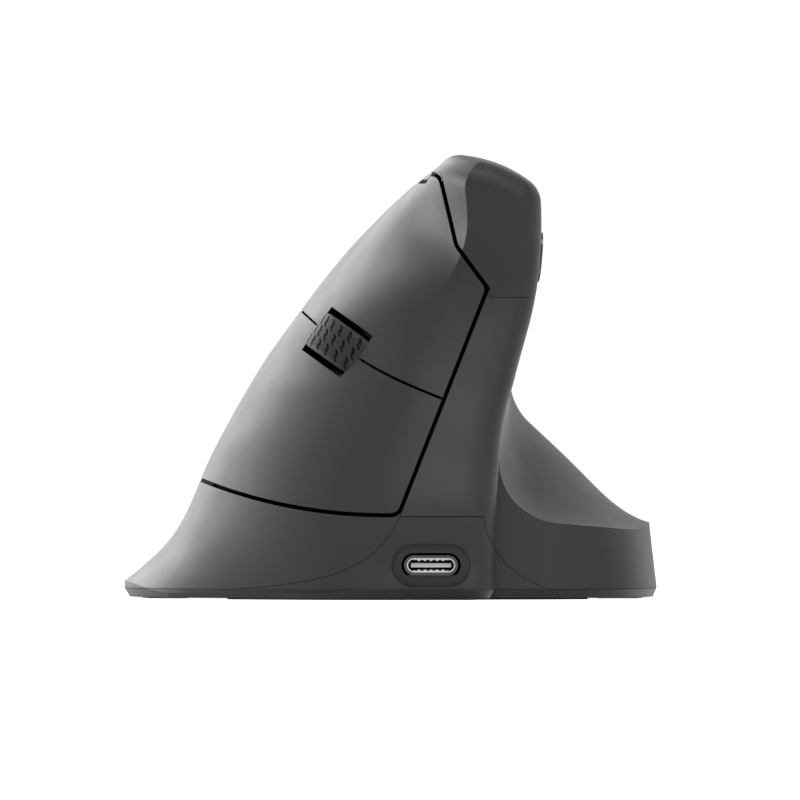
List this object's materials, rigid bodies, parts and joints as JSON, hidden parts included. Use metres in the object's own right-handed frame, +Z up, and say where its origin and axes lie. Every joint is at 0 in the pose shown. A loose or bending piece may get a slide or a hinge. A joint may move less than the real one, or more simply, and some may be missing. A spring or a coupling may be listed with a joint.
{
  "type": "vertical ergonomic computer mouse",
  "caption": "Right-handed vertical mouse with two click panels on a steep finger side, a scroll wheel, thumb buttons, a thumb rest wing and a charging port at the front.",
  "frame": {"origin": "middle of the bounding box at its base, on the desk under the glides", "axes": "+Z up, -Y towards the front with the charging port, +X towards the thumb side"},
  "size_m": [0.0897, 0.1124, 0.0743],
  "materials": {
    "shell_plastic": "fine matte texture",
    "cap_plastic": "fine matte texture",
    "panel_plastic": "fine matte texture",
    "base_plastic": "matte",
    "button_plastic": "gloss",
    "tyre_rubber": "matte rubber",
    "wheel_plastic": "matte",
    "frame_plastic": "matte",
    "steel": "bright",
    "port_metal": "nickel plated",
    "port_insert": "moulded",
    "circuit_board": "solder mask",
    "switch_black": "moulded",
    "switch_white": "moulded",
    "sensor_black": "moulded",
    "lens_clear": "clear moulding",
    "battery_wrap": "foil pouch",
    "glide_film": "slippery film",
    "slider_plastic": "matte"
  },
  "bodies": {
    "case": {"bottom_case": "base_plastic", "palm_shell": "shell_plastic", "thumb_shell": "shell_plastic", "top_cap": "cap_plastic", "inner_frame": "frame_plastic", "hinge_pins": "steel", "switch_board": "circuit_board", "primary_switch": "switch_black", "secondary_switch": "switch_black", "click_switch": "switch_black", "side_board": "circuit_board", "forward_switch": "switch_black", "back_switch": "switch_black", "usb_shell": "port_metal", "usb_tongue": "port_insert", "port_board": "circuit_board", "main_board": "circuit_board", "optical_sensor": "sensor_black", "sensor_lens": "lens_clear", "wireless_module": "port_metal", "battery": "battery_wrap", "mode_switch": "switch_black", "pairing_switch": "switch_black", "case_screws": "steel", "board_screws": "steel", "front_glide": "glide_film", "rear_glide": "glide_film", "left_glide": "glide_film", "right_glide": "glide_film"},
    "primary_button": {"primary_button": "panel_plastic"},
    "secondary_button": {"secondary_button": "panel_plastic"},
    "wheel_carrier": {"wheel_carrier": "frame_plastic", "wheel_encoder": "switch_black"},
    "wheel": {"wheel_tyre": "tyre_rubber", "wheel_hub": "wheel_plastic", "wheel_axle": "steel"},
    "forward_button": {"forward_button": "button_plastic"},
    "back_button": {"back_button": "button_plastic"},
    "primary_plunger": {"primary_plunger": "switch_white"},
    "secondary_plunger": {"secondary_plunger": "switch_white"},
    "forward_stem": {"forward_stem": "switch_white"},
    "back_stem": {"back_stem": "switch_white"},
    "click_stem": {"click_stem": "switch_white"},
    "mode_slider": {"mode_slider": "slider_plastic"},
    "pairing_button": {"pairing_button": "slider_plastic"},
    "pairing_stem": {"pairing_stem": "switch_white"}
  },
  "joints": [
    {"name": "primary_press", "type": "hinge", "parent": "case", "child": "primary_button", "pos_m": [-0.00047, 0.00542, 0.05453], "axis": [0.5821, 0, 0.8131], "range_deg": [0, 0.5], "stiffness_Nm_per_rad": 2.5},
    {"name": "primary_plunger_slide", "type": "slide", "parent": "case", "child": "primary_plunger", "axis": [0.7762, 0.2979, -0.5557], "range_m": [0, 0.0004]},
    {"name": "secondary_press", "type": "hinge", "parent": "case", "child": "secondary_button", "pos_m": [-0.01735, 0.00542, 0.03095], "axis": [0.5821, 0, 0.8131], "range_deg": [0, 0.5], "stiffness_Nm_per_rad": 2.5},
    {"name": "secondary_plunger_slide", "type": "slide", "parent": "case", "child": "secondary_plunger", "axis": [0.7762, 0.2979, -0.5557], "range_m": [0, 0.0004]},
    {"name": "wheel_press", "type": "slide", "parent": "case", "child": "wheel_carrier", "axis": [0.7762, 0.2979, -0.5557], "range_m": [0, 0.0004], "stiffness_N_per_m": 1500},
    {"name": "click_stem_slide", "type": "slide", "parent": "case", "child": "click_stem", "axis": [0.7762, 0.2979, -0.5557], "range_m": [0, 0.0004]},
    {"name": "wheel_turn", "type": "hinge", "parent": "wheel_carrier", "child": "wheel", "pos_m": [-0.0048, -0.02757, 0.03979], "axis": [0.5821, 0, 0.8131], "continuous": true},
    {"name": "mode_slide", "type": "slide", "parent": "case", "child": "mode_slider", "axis": [0, 1, 0], "range_m": [0, 0.0025]},
    {"name": "pairing_press", "type": "slide", "parent": "case", "child": "pairing_button", "axis": [0, 0, 1], "range_m": [0, 0.0003], "stiffness_N_per_m": 2000},
    {"name": "pairing_stem_slide", "type": "slide", "parent": "case", "child": "pairing_stem", "axis": [0, 0, 1], "range_m": [0, 0.0003]},
    {"name": "forward_press", "type": "slide", "parent": "case", "child": "forward_button", "axis": [-1, 0, 0], "range_m": [0, 0.0005], "stiffness_N_per_m": 1200},
    {"name": "forward_stem_slide", "type": "slide", "parent": "case", "child": "forward_stem", "axis": [-1, 0, 0], "range_m": [0, 0.0005]},
    {"name": "back_press", "type": "slide", "parent": "case", "child": "back_button", "axis": [-1, 0, 0], "range_m": [0, 0.0005], "stiffness_N_per_m": 1200},
    {"name": "back_stem_slide", "type": "slide", "parent": "case", "child": "back_stem", "axis": [-1, 0, 0], "range_m": [0, 0.0005]}
  ],
  "couplings": [
    {"joint": "primary_plunger_slide", "follows": "primary_press", "m_per_rad": 0.037},
    {"joint": "secondary_plunger_slide", "follows": "secondary_press", "m_per_rad": 0.037},
    {"joint": "click_stem_slide", "follows": "wheel_press", "ratio": 1},
    {"joint": "forward_stem_slide", "follows": "forward_press", "ratio": 1},
    {"joint": "back_stem_slide", "follows": "back_press", "ratio": 1},
    {"joint": "pairing_stem_slide", "follows": "pairing_press", "ratio": 1}
  ]
}
